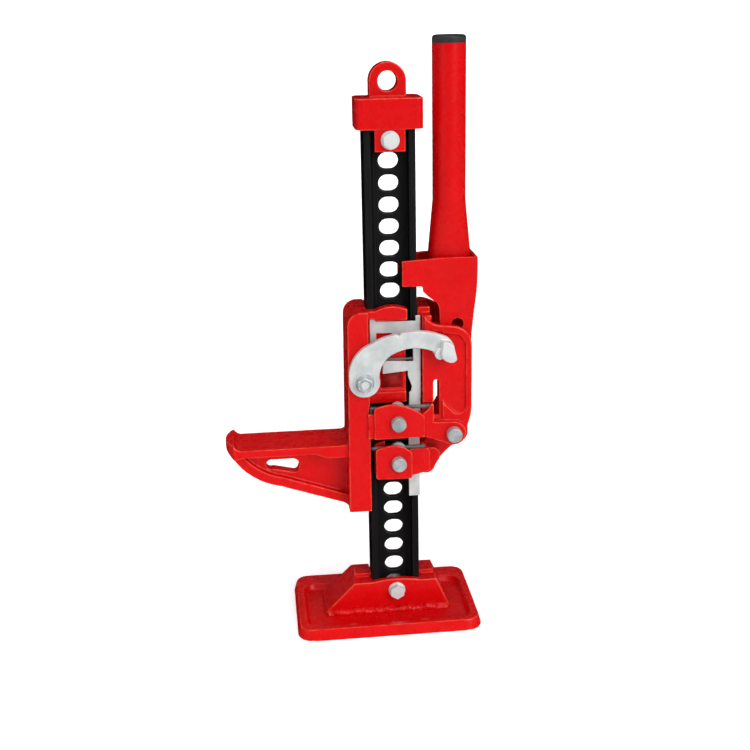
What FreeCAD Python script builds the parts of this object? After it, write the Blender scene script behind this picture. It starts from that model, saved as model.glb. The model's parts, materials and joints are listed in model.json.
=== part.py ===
import FreeCAD, Part
import math
import os

# Ratchet rack jack with a side toe. Millimetres, +Z up, ground at z = 0, rack centre line on X = Y = 0.
# -X is the toe's side, +X is the handle's side and -Y is the front, where the climbing pins are.

V = FreeCAD.Vector

# ---- rack: rolled I-section with a ladder of obround holes ----
RACK_W = 48.0                      # over the flanges, along X
RACK_D = 30.0                      # flange depth, along Y
FLANGE_T = 6.5
WEB_T = 5.5
ROOT = 3.5                         # sloped root between web and flange
RACK_BOTTOM = 6.0
RACK_LENGTH = 508.0
PITCH = 20.64                      # hole to hole
FIRST_HOLE_Z = 28.6
HOLE_COUNT = 23
LAST_HOLE_Z = FIRST_HOLE_Z + (HOLE_COUNT - 1) * PITCH
HOLE_W = 19.0
HOLE_H = 15.0
SLIDE_GAP = 0.5                    # between the rack and what slides on it
IN_X = RACK_W / 2 + SLIDE_GAP      # inner faces of a runner, beside and in front of the rack
IN_Y = RACK_D / 2 + SLIDE_GAP

# ---- base ----
BASE_X = (-103.5, 82.5)
BASE_Y = (-64.0, 58.5)
BASE_R = 16.0
BASE_FLOOR = 5.0
BASE_RIM_Z = 11.0
BASE_RIM_W = 7.5
BASE_REAR_RIM = 21.0               # the rim is wider behind the rack
BASE_DRAFT = 3.0
STAKE_SPACING = (72.0, 93.0)
STAKE_R = 5.5
STAKE_CENTRE = ((BASE_X[0] + BASE_X[1]) / 2, (BASE_Y[0] + BASE_Y[1]) / 2)
SADDLE_Y = 22.0                    # half depth of the saddle block
SADDLE_TOP = 38.0
SADDLE_ARCH = 40.6
SADDLE_BACK_Z = 18.0               # the wall behind the rack stays low
SADDLE_EAR_TOP = 42.0
SADDLE_EAR_Y = 8.0
SADDLE_TOP_X = (-43.0, 41.0)
SADDLE_FOOT_X = (-73.0, 54.0)
WELD_R = 3.5

# ---- bolts through the rack ----
M8_R = 4.0
M8_AF = 13.0
M8_HEAD = 5.5
M8_NUT = 6.5
WASHER_R = 8.5
WIDE_WASHER_R = 10.5               # spans a hole of the rack
WASHER_T = 1.6
CLEAR_R = 4.4                      # clearance hole for an 8 mm bolt

# ---- large runner ----
COLUMN_X = -44.2
COLUMN_LOW_X = -46.5
COLUMN_FRONT = -30.0
COLUMN_BACK = 26.0
COLUMN_BOTTOM = 121.0
RUNNER_TOP = 324.5
COLUMN_R = 13.2
CORE_X = (-41.0, -31.0)            # pockets in the back of the column
CORE_Y = -22.0
CORE_Z = ((132.0, 244.0), (272.0, 306.0))
FRONT_TOP = 318.0                  # channel wall and ear, before the rack
REAR_WALL_Y = 22.0
RUNNER_LOW_Z = 198.5               # underside of the band and of the rear wall
WALL_X = (27.6, 36.5)              # channel wall on the handle's side
WALL_FRONT = -26.0
PANEL_Y = -18.0                    # front face of the thin wall before the rack
PANEL_RIGHT = 12.3
LEDGE_Y = -20.5
LEDGE_Z = (230.8, 242.0)
WINDOW_X = (-13.0, 9.2)
WINDOW_Z = (244.5, 261.0)
WINDOW_DEPTH = 1.6
TAB_X = (-16.0, 13.5)
TAB_Z = 314.6
TAB_CROWN = 328.3
BAND_FRONT = -35.6
BAND_X = (-20.9, 28.0)
BAND_TOP = 221.6
BAND_CROWN = 233.5
BOSS_WALL = 3.0
ROD_SKIN_Y = -31.3                 # back of the skin that hides the cross pin's bent leg
EAR_Y = (-20.0, -26.0)
EAR_RIM_Y = -28.5
LUG_Y = -33.0
LUG_R = 12.0
PIN_HEAD = (7.4, 7.6)              # radius and length of the pivot pin's head
EAR_RIGHT = 75.2
REAR_EAR_Y = (20.0, 26.0)
REAR_LUG_Y = 30.0

# ---- toe ----
TOE_ROOT_X = -43.0                 # inside the column
TOE_TOP = 190.5
TOE_LIP = 196.0
TOE_TIP_X = -165.0
TOE_HALF = 25.0
TOE_FLANGE = 8.0
TOE_WEB = 6.0
TOE_RIM = 12.0

# ---- handle linkage ----
PIVOT = (57.0, 200.0)              # handle pivot, X and Z
PIVOT_R = 6.0
CRANK = 14.6                       # pivot to link pin; 90 degrees of handle give one notch
LINK_TOP = (PIVOT[0] + CRANK / math.sqrt(2), PIVOT[1] + CRANK / math.sqrt(2))
LINK_LOW = (35.8, 163.5)
LINK_HALF = 7.8                    # half thickness of the link
LINK_PIN_R = 4.0
LINK_EYE = (8.6, 1.9)              # radius of the lower eye, and how far it sits towards the rack
SOCKET_HOLE = (62.5, 306.5, 6.0)   # X, Z and radius
RUNNING = 0.05                     # radial clearance of a running fit
SLOT_TRAVEL = CRANK * (1 - math.cos(math.pi / 4))
SLOT_PLAY = 0.6
CHEEK_Y = (15.75, 19.25)
SOCKET_TOP = 371.5
SOCKET_RIGHT = 82.0

# ---- handle tube ----
TUBE_X = 57.4
TUBE_R = 15.6
TUBE_WALL = 2.8
TUBE_FLAT = (20.6, 12.0)           # half width and half depth of the flattened end
TUBE_LOW = 338.0
TUBE_FLARE = (372.0, 424.0)
TUBE_TOP = 566.0
CAP_TOP = 573.0

# ---- climbing pins ----
PIN_X = 2.3
UPPER_PIN_Z = FIRST_HOLE_Z + 9 * PITCH
LOWER_PIN_Z = FIRST_HOLE_Z + 7 * PITCH
PIN_R = 7.0
PIN_TIP_R = 6.2
PIN_TIP_Y = -3.15                  # just clear of the rack's web
PIN_STEP_Y = -20.0
PIN_END_Y = -42.0
PIN_LUG_Y = (-31.0, -27.2)
PIN_LUG_HALF = 7.5
CROSS_RISE = 14.3                  # cross pin above the climbing pin
CROSS_R = 1.8
CROSS_Y = (PIN_LUG_Y[0] + PIN_LUG_Y[1]) / 2
POCKET_HALF = 11.7
POCKET_DROP = 12.0                 # pocket floor below the pin
ROD_GAP = 2.4                      # half height of the slots for a cross pin

# ---- control frame and latch ----
FRAME_Y = (-20.8, -18.4)
STRIP_X = (14.0, 24.8)
STRIP_UPPER_X = (19.2, 26.4)
STRIP_BOTTOM = 131.5
STRIP_GAP = 0.6
LATCH_PIVOT = (-29.6, 257.8)
LATCH_Y = (-37.0, -30.4)
LATCH_EYE_R = 14.8
LATCH_TIP_Y = -46.0
LATCH_PLAY = 0.3
LATCH_WASHER_R = 10.4
LATCH_BOLT_R = 4.0
LATCH_BOLT_END = -14.0             # ends before the rack
HINGE_BOSS_R = 9.0

# ---- small runner ----
SMALL_X = (-20.0, 15.5)
SMALL_Z = (156.3, 191.2)
SMALL_RIGHT = 33.6
SMALL_RIGHT_Z = (159.5, 187.0)
SMALL_RIGHT_FRONT = -30.0
SMALL_LUG_Y = ((-17.8, -8.3), (8.3, 16.0))
LINK_PIN_Y = (-14.5, 16.0)         # blind at the front

# ---- top clevis ----
CLEVIS_X = 31.0
CLEVIS_Y = 22.0
CLEVIS_Z = (492.0, 520.0)
CLEVIS_CHEEK_X = 14.0
CLEVIS_CHEEK_Z = 472.0
CLEVIS_CHEEK_Y = 20.5
EYE_Z = 534.0
EYE_R = 9.0
EYE_OUTER = 17.0
EYE_HALF = 8.0


def box(x, y, z):
    """Block between pairs of limits along each axis."""
    size = [abs(pair[1] - pair[0]) for pair in (x, y, z)]
    return Part.makeBox(size[0], size[1], size[2], V(min(x), min(y), min(z)))


def cyl_x(y, z, radius, x):
    return Part.makeCylinder(radius, abs(x[1] - x[0]), V(min(x), y, z), V(1, 0, 0))


def cyl_y(x, z, radius, y):
    return Part.makeCylinder(radius, abs(y[1] - y[0]), V(x, min(y), z), V(0, 1, 0))


def outline(start, steps):
    """Closed XZ outline: a step is a point for a line, or a pair (point on the arc, end point)."""
    edges = []
    here = V(start[0], 0, start[1])
    for step in steps + [start]:
        if isinstance(step[0], tuple):
            middle = V(step[0][0], 0, step[0][1])
            there = V(step[1][0], 0, step[1][1])
            edges.append(Part.Arc(here, middle, there).toShape())
        else:
            there = V(step[0], 0, step[1])
            if there.distanceToPoint(here) < 1e-6:
                continue
            edges.append(Part.makeLine(here, there))
        here = there
    return Part.Wire(edges)


def plate(start, steps, y):
    """XZ outline made solid between two Y limits."""
    face = Part.Face(outline(start, steps))
    face.translate(V(0, min(y), 0))
    return face.extrude(V(0, abs(y[1] - y[0]), 0))


def rounded_rect(x, y, radius, z):
    """Horizontal wire with rounded corners."""
    x0, x1 = x
    y0, y1 = y
    turn = radius * (1 - math.cos(math.pi / 4))
    corners = [
        (V(x1 - radius, y0, z), V(x1 - turn, y0 + turn, z), V(x1, y0 + radius, z)),
        (V(x1, y1 - radius, z), V(x1 - turn, y1 - turn, z), V(x1 - radius, y1, z)),
        (V(x0 + radius, y1, z), V(x0 + turn, y1 - turn, z), V(x0, y1 - radius, z)),
        (V(x0, y0 + radius, z), V(x0 + turn, y0 + turn, z), V(x0 + radius, y0, z)),
    ]
    edges = []
    for number, (first, middle, last) in enumerate(corners):
        following = corners[(number + 1) % len(corners)][0]
        edges.append(Part.Arc(first, middle, last).toShape())
        edges.append(Part.makeLine(last, following))
    return Part.Wire(edges)


def hexagon(x, z, across_flats, y):
    """Hexagonal prism along Y."""
    radius = across_flats / math.sqrt(3)
    points = []
    for number in range(7):
        angle = math.radians(60 * number + 30)
        points.append(V(x + radius * math.cos(angle), min(y), z + radius * math.sin(angle)))
    return Part.Face(Part.makePolygon(points)).extrude(V(0, abs(y[1] - y[0]), 0))


def washer(x, z, outer, inner, y):
    return cyl_y(x, z, outer, y).cut(cyl_y(x, z, inner, y))


def join(pieces):
    """Fuse a list of solids that meet into one solid."""
    return pieces[0].multiFuse(pieces[1:]).removeSplitter()


def save(name, shape):
    """Write one node; every solid in it is a separate piece."""
    assert shape.isValid(), name
    shape.exportStep("parts/%s.step" % name)
    print("%-20s %d solid(s) %9.0f mm3" % (name, len(shape.Solids), shape.Volume))


def rack_hole(z):
    """Obround cutter through the rack's web."""
    reach = (HOLE_W - HOLE_H) / 2
    pieces = [box((-reach, reach), (-WEB_T, WEB_T), (z - HOLE_H / 2, z + HOLE_H / 2))]
    for side in (-reach, reach):
        pieces.append(cyl_y(side, z, HOLE_H / 2, (-WEB_T, WEB_T)))
    return join(pieces)


def rack():
    half_w = RACK_W / 2
    half_d = RACK_D / 2
    half_web = WEB_T / 2
    inner = half_w - FLANGE_T
    quarter = [(half_w, half_d), (inner, half_d), (inner, half_web + ROOT), (inner - ROOT, half_web)]
    back = quarter + [(-x, y) for x, y in reversed(quarter)]
    front = [(-x, -y) for x, y in back]
    points = [V(x, y, RACK_BOTTOM) for x, y in back + front]
    points.append(points[0])
    body = Part.Face(Part.makePolygon(points)).extrude(V(0, 0, RACK_LENGTH))
    holes = [rack_hole(FIRST_HOLE_Z + PITCH * number) for number in range(HOLE_COUNT)]
    return body.cut(Part.makeCompound(holes))


def stake_holes():
    """Four cutters for the pegs that pin the base to soft ground."""
    cutters = []
    for side_x in (-0.5, 0.5):
        for side_y in (-0.5, 0.5):
            x = STAKE_CENTRE[0] + side_x * STAKE_SPACING[0]
            y = STAKE_CENTRE[1] + side_y * STAKE_SPACING[1]
            cutters.append(Part.makeCylinder(STAKE_R, BASE_RIM_Z * 2, V(x, y, -BASE_RIM_Z / 2)))
    return Part.makeCompound(cutters)


def base_plate():
    """Pressed foot: drafted outside, raised rim that is wider at the rear, sunken floor."""
    def inset(limits, near, far):
        return (limits[0] + near, limits[1] - far)

    def drafted(amount, radius, z):
        return rounded_rect(inset(BASE_X, amount, amount), inset(BASE_Y, amount, amount), radius, z)

    def sunken(amount, radius, z):
        return rounded_rect(inset(BASE_X, amount, amount), inset(BASE_Y, amount, amount + rear), radius, z)

    rim = BASE_DRAFT + BASE_RIM_W
    rear = BASE_REAR_RIM - BASE_RIM_W
    outside = [drafted(0, BASE_R, 0), drafted(BASE_DRAFT, BASE_R - BASE_DRAFT, BASE_RIM_Z)]
    floor = sunken(rim + BASE_DRAFT, BASE_R / 2, BASE_FLOOR)
    over = sunken(rim - BASE_DRAFT / 2, BASE_R - BASE_DRAFT, BASE_RIM_Z + 1)
    body = Part.makeLoft(outside, True, True)
    return body.cut(Part.makeLoft([floor, over], True, True)).cut(stake_holes())


def base_saddle():
    """Block that the rack stands in: high front wall, low rear wall, two ears, a weld along each foot."""
    foot_z = BASE_FLOOR + 3
    block = plate(
        (SADDLE_FOOT_X[0], BASE_FLOOR),
        [
            (SADDLE_FOOT_X[1], BASE_FLOOR), (SADDLE_FOOT_X[1], foot_z), (SADDLE_TOP_X[1], SADDLE_TOP),
            (IN_X, SADDLE_TOP), ((0, SADDLE_ARCH), (-IN_X, SADDLE_TOP)), (SADDLE_TOP_X[0], SADDLE_TOP),
            (SADDLE_FOOT_X[0], foot_z),
        ],
        (-SADDLE_Y, SADDLE_Y),
    )
    pieces = [block]
    ear_z = (SADDLE_TOP - 1, SADDLE_EAR_TOP)
    for limits in ((SADDLE_TOP_X[0] + 1, -IN_X), (IN_X, SADDLE_TOP_X[1] - 1)):
        pieces.append(box(limits, (-SADDLE_EAR_Y, SADDLE_EAR_Y), ear_z))
    above = box(BASE_X, BASE_Y, (BASE_FLOOR, SADDLE_TOP))
    for side in (-SADDLE_Y, SADDLE_Y):
        weld = cyl_x(side, BASE_FLOOR, WELD_R, (SADDLE_FOOT_X[0] + 2, SADDLE_FOOT_X[1] - 2))
        pieces.append(weld.common(above))
    over = SADDLE_EAR_TOP + 1
    cuts = [
        box((-IN_X, IN_X), (-IN_Y, IN_Y), (RACK_BOTTOM, over)),
        box((-IN_X, IN_X), (0, SADDLE_Y + 1), (SADDLE_BACK_Z, over)),
        cyl_y(0, FIRST_HOLE_Z, CLEAR_R, (-SADDLE_Y - 1, 0)),
    ]
    return join(pieces).cut(Part.makeCompound(cuts))


def through_bolt(z, grip, back_washer):
    """Hexagon bolt along Y with its washers and nut; grip holds the Y limits of what it clamps."""
    front = grip[0] - WASHER_T
    back = grip[1] + WASHER_T
    head = hexagon(0, z, M8_AF, (front - M8_HEAD, front))
    shank = cyl_y(0, z, M8_R, (front, back + M8_NUT + 2))
    washers = [
        washer(0, z, WASHER_R, CLEAR_R, (front, grip[0])),
        washer(0, z, back_washer, CLEAR_R, (grip[1], back)),
    ]
    nut = hexagon(0, z, M8_AF, (back, back + M8_NUT)).cut(cyl_y(0, z, M8_R, (back, back + M8_NUT)))
    return join([head, shank]), Part.makeCompound(washers), nut


def toe_profile(top):
    """Side view of the toe below its flange, from the column's foot along the curved lower edge."""
    return (
        (TOE_ROOT_X, top),
        [
            (TOE_TIP_X + 1, top), ((-150, 166.5), (-113, 146)), (-51, 124.5),
            ((-48, 122.5), (COLUMN_LOW_X, COLUMN_BOTTOM)), (TOE_ROOT_X, COLUMN_BOTTOM),
        ],
    )


def toe_flange():
    """Load plate: round tip in plan, dished top with a raised lip, thicker towards the column."""
    corner_x = TOE_TIP_X + 8
    under = TOE_TOP - TOE_FLANGE
    root_z = TOE_TOP - 12.5
    corners = [V(TOE_ROOT_X, -TOE_HALF, 0), V(corner_x, -TOE_HALF, 0), V(corner_x, TOE_HALF, 0),
               V(TOE_ROOT_X, TOE_HALF, 0)]
    edges = [
        Part.makeLine(corners[0], corners[1]),
        Part.Arc(corners[1], V(TOE_TIP_X, 0, 0), corners[2]).toShape(),
        Part.makeLine(corners[2], corners[3]),
        Part.makeLine(corners[3], corners[0]),
    ]
    footprint = Part.Face(Part.Wire(edges))
    footprint.translate(V(0, 0, root_z - 1))
    upright = footprint.extrude(V(0, 0, TOE_LIP - root_z + 2))
    profile = plate(
        (TOE_ROOT_X, TOE_TOP + 4),
        [
            ((TOE_ROOT_X - 4, TOE_TOP + 1), (TOE_ROOT_X - 9, TOE_TOP)), (-148, TOE_TOP),
            ((-153, TOE_TOP + 1), (-157, TOE_LIP)), (TOE_TIP_X - 1, TOE_LIP), (TOE_TIP_X - 1, TOE_TOP - 3),
            (-157, under - 2), (-150, under), (-78, under), (-66, root_z), (TOE_ROOT_X, root_z),
        ],
        (-TOE_HALF, TOE_HALF),
    )
    return upright.common(profile)


def toe():
    """Side toe: wide top flange, thin web with a slot, curved lower rim."""
    start, steps = toe_profile(TOE_TOP - 1)
    web = plate(start, steps, (-TOE_WEB, TOE_WEB))
    rim = plate(start, steps, (-TOE_RIM, TOE_RIM))
    across = (-TOE_RIM - 1, TOE_RIM + 1)
    over = TOE_TOP + 1
    inner = plate((-30, over), [(-156, over), ((-141.5, 171.5), (-110, 155.2)), (-30, 127)], across)
    slot = plate(
        (-121.5, 172.3),
        [
            (-100, 172.3), ((-94.4, 168.6), (-94.6, 162.5)), ((-96.6, 158.6), (-101, 158.4)),
            (-119.5, 162.7), ((-126.4, 167.5), (-121.5, 172.3)),
        ],
        across,
    )
    return [web.cut(slot), rim.cut(inner).cut(slot), toe_flange()]


def ear(shoulder, y):
    """Plain ear between two Y limits; shoulder is its top edge, from the channel wall outwards."""
    left = WALL_X[0] + 2
    steps = shoulder[1:] + [
        ((70.5, 300), (EAR_RIGHT, 286)), (EAR_RIGHT, 222), ((73, 211), (PIVOT[0] + LUG_R, PIVOT[1])),
        (PIVOT[0], PIVOT[1]), (left, PIVOT[1]), (left, shoulder[0][1]),
    ]
    return plate(shoulder[0], steps, y)


def front_ear():
    """Ear with a raised rim, a sunken panel and the slot beside the channel wall."""
    body = ear([(30, FRONT_TOP), ((37, 311), (45, 308.4)), (59, 306.8)], (EAR_RIM_Y, EAR_Y[0]))
    before = (EAR_RIM_Y - 1, EAR_Y[1])
    panel = plate(
        (46.5, 300.5),
        [
            (58.5, 299.5), ((66.5, 294), (69.5, 285)), (69.5, 228), ((66, 220), (57, 221)), (46.5, 232),
        ],
        before,
    )
    skim = box((WALL_X[0], 46.5), before, (214, 302))
    slot = plate(
        (38.2, 217.5),
        [(43.6, 217.5), (43.6, 251), ((40.9, 253.7), (38.2, 251))],
        (EAR_RIM_Y - 1, EAR_Y[0] + 1),
    )
    return body.cut(panel).cut(skim).cut(slot)


def rear_ear():
    """Rear ear, higher than the front one, with one large opening."""
    body = ear([(34, RUNNER_TOP - 0.5), ((46, 319.3), (56, 311.5))], REAR_EAR_Y)
    opening = plate(
        (38.5, 210),
        [
            (43.5, 210), (49, 220), (62, 222), ((66, 224), (68, 230)), (68, 282),
            ((64, 294), (56, 297)), (38.5, 298),
        ],
        (REAR_EAR_Y[0] - 1, REAR_EAR_Y[1] + 1),
    )
    return body.cut(opening)


def band():
    """Band across the rack with the arched boss that guides the upper climbing pin."""
    x0, x1 = BAND_X
    wall_y = BAND_FRONT + BOSS_WALL
    thick = box((-IN_X - 1, WALL_X[1]), (COLUMN_FRONT, -IN_Y), (RUNNER_LOW_Z, BAND_TOP))
    boss = plate(
        (x0, RUNNER_LOW_Z),
        [
            (x1, RUNNER_LOW_Z), (x1, BAND_TOP - 1), (26.2, BAND_TOP), ((13.2, 229.9), (0, BAND_CROWN)),
            ((-11.5, 232.9), (-18.7, 231)), ((-20.3, 229.8), (x0, 228)),
        ],
        (BAND_FRONT, wall_y),
    )
    behind = box((x0, x1), (wall_y - 0.5, COLUMN_FRONT + 1), (RUNNER_LOW_Z, BAND_TOP))
    skin = box((-IN_X - 2, x0 + 0.5), (ROD_SKIN_Y - 1.8, COLUMN_FRONT + 0.5), (RUNNER_LOW_Z, BAND_TOP + 2.4))
    scoop = plate(
        (25, 214),
        [(37.5, 214), (37.5, 230.5), (35.2, 232.6), ((31, 225.6), (25, BAND_TOP))],
        (LUG_Y, CROSS_Y - 2.1),
    )
    arm = plate(
        (WALL_X[0], RUNNER_LOW_Z),
        [
            (PIVOT[0] - 7, PIVOT[1] - LUG_R + 2.2), (PIVOT[0], PIVOT[1]), (PIVOT[0], PIVOT[1] + LUG_R),
            (WALL_X[0] + 4, PIVOT[1] + LUG_R + 1), (WALL_X[0], BAND_TOP - 2),
        ],
        (LUG_Y, EAR_Y[0]),
    )
    lug = cyl_y(PIVOT[0], PIVOT[1], LUG_R, (LUG_Y, EAR_Y[0]))
    return [thick, boss, behind, skin, scoop, arm, lug]


def column():
    """Hollow-backed column on the toe's side of the rack."""
    turn = COLUMN_R * (1 - math.cos(math.pi / 4))
    body = plate(
        (COLUMN_LOW_X, COLUMN_BOTTOM),
        [
            (-IN_X, COLUMN_BOTTOM), (-IN_X, RUNNER_TOP), (COLUMN_X + COLUMN_R, RUNNER_TOP),
            ((COLUMN_X + turn, RUNNER_TOP - turn), (COLUMN_X, RUNNER_TOP - COLUMN_R)),
        ],
        (COLUMN_FRONT, COLUMN_BACK),
    )
    for limits in CORE_Z:
        body = body.cut(box(CORE_X, (CORE_Y, COLUMN_BACK + 1), limits))
    return body


def channel():
    """Walls round the rack, the thin panel before it, its ledge and the arched tab on top."""
    top = RUNNER_TOP - 0.5
    left = -IN_X - 1
    rear = box((left, WALL_X[1]), (IN_Y, REAR_WALL_Y), (RUNNER_LOW_Z, top))
    side = box((IN_X, WALL_X[1]), (-IN_Y, REAR_WALL_Y), (RUNNER_LOW_Z, top))
    side_front = box(WALL_X, (WALL_FRONT, -IN_Y + 0.5), (RUNNER_LOW_Z, FRONT_TOP))
    rear_step = box((WALL_X[1] - 4, WALL_X[1]), (REAR_WALL_Y - 1, REAR_EAR_Y[1]), (RUNNER_LOW_Z, FRONT_TOP))
    panel = box((left, PANEL_RIGHT), (PANEL_Y, -IN_Y), (LEDGE_Z[0], RUNNER_TOP))
    ledge = box((left, PANEL_RIGHT), (LEDGE_Y, -IN_Y), LEDGE_Z)
    corner_z = RUNNER_TOP + 0.5
    crown = ((TAB_X[0] + TAB_X[1]) / 2, TAB_CROWN)
    tab = plate(
        (TAB_X[0], TAB_Z),
        [(TAB_X[1], TAB_Z), (TAB_X[1], corner_z), (crown, (TAB_X[0], corner_z))],
        (WALL_FRONT, -IN_Y),
    )
    shoulder = box((left, TAB_X[0] + 1), (WALL_FRONT, -IN_Y), (FRONT_TOP - 1, RUNNER_TOP))
    return [rear, side, side_front, rear_step, panel, ledge, tab, shoulder]


def runner_cuts():
    """Bores, the pin's pocket, the window and the slots for the control strip and the cross pin."""
    pin_z = UPPER_PIN_Z
    rod_z = (pin_z + CROSS_RISE - ROD_GAP, pin_z + CROSS_RISE + ROD_GAP)
    wall_y = BAND_FRONT + BOSS_WALL
    lug_half = PIN_LUG_HALF + 1
    pocket_x = (PIN_X - POCKET_HALF, PIN_X + POCKET_HALF)
    strip_x = (STRIP_X[0] - STRIP_GAP, STRIP_UPPER_X[1] + STRIP_GAP)
    strip_y = (FRAME_Y[0] - STRIP_GAP, FRAME_Y[1] + 0.4)
    bend_x = (-IN_X - 0.8, BAND_X[0])
    px, pz = LATCH_PIVOT
    return [
        box(WINDOW_X, (LEDGE_Y - 1, PANEL_Y + WINDOW_DEPTH), WINDOW_Z),
        box(pocket_x, (wall_y, -IN_Y + 1), (pin_z - POCKET_DROP, LEDGE_Z[0])),
        box((PIN_X - lug_half, PIN_X + lug_half), (wall_y, LEDGE_Y), (rod_z[0], LEDGE_Z[0] + 5)),
        box(strip_x, strip_y, (RUNNER_LOW_Z - 1, LEDGE_Z[1])),
        box(bend_x, (ROD_SKIN_Y, LEDGE_Y + 0.2), (rod_z[0] - 15, rod_z[1])),
        box(bend_x, (BAND_FRONT - 1, LEDGE_Y + 0.2), rod_z),
        box((WALL_X[0] - 1, WALL_X[1] + 1), (WALL_FRONT - 1, LEDGE_Y + 0.3), rod_z),
        cyl_y(PIN_X, pin_z, PIN_R + RUNNING, (BAND_FRONT - 1, wall_y + 1)),
        cyl_y(PIVOT[0], PIVOT[1], PIVOT_R, (LUG_Y - 1, REAR_LUG_Y + 1)),
        cyl_y(px, pz, LATCH_BOLT_R, (COLUMN_FRONT - 1, LATCH_BOLT_END)),
    ]


def large_runner():
    """Main casting: column, toe, channel round the rack, pin boss and the two ears."""
    px, pz = LATCH_PIVOT
    hinge_boss = cyl_y(px, pz, HINGE_BOSS_R, (COLUMN_FRONT, -IN_Y))
    rear_lug = cyl_y(PIVOT[0], PIVOT[1], LUG_R, (REAR_EAR_Y[0], REAR_LUG_Y))
    pieces = [column(), hinge_boss, rear_lug, front_ear(), rear_ear()] + channel() + toe() + band()
    return join(pieces).cut(Part.makeCompound(runner_cuts()))


def small_runner():
    """Lower runner: front boss, rear plate and a forked lug for the link."""
    x0, x1 = SMALL_X
    z0, z1 = SMALL_Z
    wall_y = BAND_FRONT + BOSS_WALL
    boss = plate(
        (x0 + 3, z0 + 0.5),
        [
            (13, z0), (x1, z0 + 0.5), (x1, 183), ((8, 188.7), (0, z1)), ((-11, z1 - 0.7), (x0 + 4, z1 - 2.2)),
            ((x0 + 1, z1 - 3.6), (x0, z1 - 6)), (x0, z0 + 4), ((x0 + 0.8, z0 + 1.5), (x0 + 3, z0 + 0.5)),
        ],
        (BAND_FRONT, -IN_Y),
    )
    right_x = SMALL_RIGHT
    rz0, rz1 = SMALL_RIGHT_Z
    right = plate(
        (x1 - 1, z0 + 0.5),
        [
            (26.8, rz0), (right_x - 3, rz0 + 1), ((right_x - 0.9, rz0 + 1.9), (right_x, rz0 + 4)),
            (right_x, rz1 - 7), ((right_x - 2, rz1 - 2), (right_x - 7, rz1)), (x1 - 1, rz1),
        ],
        (SMALL_RIGHT_FRONT, -IN_Y),
    )
    rear = box((-IN_X + 0.5, right_x - 2), (IN_Y, REAR_WALL_Y), SMALL_RIGHT_Z)
    bridge = box((IN_X, right_x - 2), (-IN_Y - 0.5, IN_Y + 0.5), (176.5, rz1))
    pieces = [boss, right, rear, bridge]
    link_x, link_z = LINK_LOW
    for span in SMALL_LUG_Y:
        pieces.append(plate(
            (IN_X, 156),
            [
                (31.5, 153.6), ((37.2, 155.6), (40.8, 161.5)), (45.5, 169),
                ((45, 176), (39, 180.5)), (IN_X, 181),
            ],
            span,
        ))
    pin_z = LOWER_PIN_Z
    over = z1 + 1
    strip_x = (STRIP_X[0] - STRIP_GAP, STRIP_UPPER_X[1] + STRIP_GAP)
    strip_y = (FRAME_Y[0] - STRIP_GAP, FRAME_Y[1] + 0.4)
    cuts = [
        box((PIN_X - POCKET_HALF, PIN_X + POCKET_HALF), (wall_y, -IN_Y + 1), (pin_z - POCKET_DROP, over)),
        cyl_y(PIN_X, pin_z, PIN_R + RUNNING, (BAND_FRONT - 1, wall_y + 1)),
        box(strip_x, strip_y, (z0 - 1, over)),
        box((x0 - 1, right_x + 1), (wall_y + 1, LEDGE_Y + 0.1), (pin_z + CROSS_RISE - ROD_GAP, over)),
        cyl_y(link_x, link_z, LINK_PIN_R, LINK_PIN_Y),
    ]
    return join(pieces).cut(Part.makeCompound(cuts))


def pitman():
    """Hooked link that passes under the handle pivot, with a level slot at its lower end."""
    y = (-LINK_HALF, LINK_HALF)
    across = (y[0] - 1, y[1] + 1)
    eye_r, shift = LINK_EYE
    low_x, low_z = LINK_LOW[0] - shift, LINK_LOW[1]
    arm = plate(
        (LINK_TOP[0] - 3.5, LINK_TOP[1] - 1),
        [
            (LINK_TOP[0] + 8, LINK_TOP[1]), (LINK_TOP[0] + 8, 192), ((74, 186), (70.5, 182.5)),
            ((58, 176.6), (49.8, 168.7)), (low_x + eye_r - 1, low_z - 3), (low_x - 1.4, low_z + eye_r - 0.4),
            (low_x - 1.4, 188), ((35.5, 194), (42, 196.6)), (49.5, 196.6), ((52, 193.2), (57, 192.3)),
            ((61.8, 194.6), (63.8, 198.5)),
        ],
        y,
    )
    eyes = [cyl_y(LINK_TOP[0], LINK_TOP[1], 8.0, y), cyl_y(low_x, low_z, eye_r, y)]
    body = join([arm] + eyes)
    reach = SLOT_TRAVEL + 0.4
    half = LINK_PIN_R + SLOT_PLAY
    slot = [
        box((LINK_LOW[0] - reach, LINK_LOW[0]), across, (low_z - half, low_z + half)),
        cyl_y(LINK_LOW[0], low_z, half, across),
        cyl_y(LINK_LOW[0] - reach, low_z, half, across),
    ]
    bore = cyl_y(LINK_TOP[0], LINK_TOP[1], LINK_PIN_R + RUNNING, across)
    return body.cut(join(slot)).cut(bore)


def cheek(y):
    """One side of the handle socket, with the keeper finger that lies beside the rack's flange."""
    return plate(
        (9.7, 345.4),
        [
            (29.4, 344.6), (29.6, 339.6), ((36, 333.5), (43, 328.2)), (45, 323), (45.6, 312), (48.5, 280),
            (48.5, 214), ((46, 207), (45.6, PIVOT[1])),
            ((PIVOT[0] - 1, PIVOT[1] - 11.4), (PIVOT[0] + 10.8, PIVOT[1] - 4)),
            (72, 208), (75.2, 240), ((75.8, 285), (79.6, 325)), ((81.6, 345), (SOCKET_RIGHT, SOCKET_TOP)),
            (45, SOCKET_TOP), (9.7, 369.6),
        ],
        y,
    )


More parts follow.
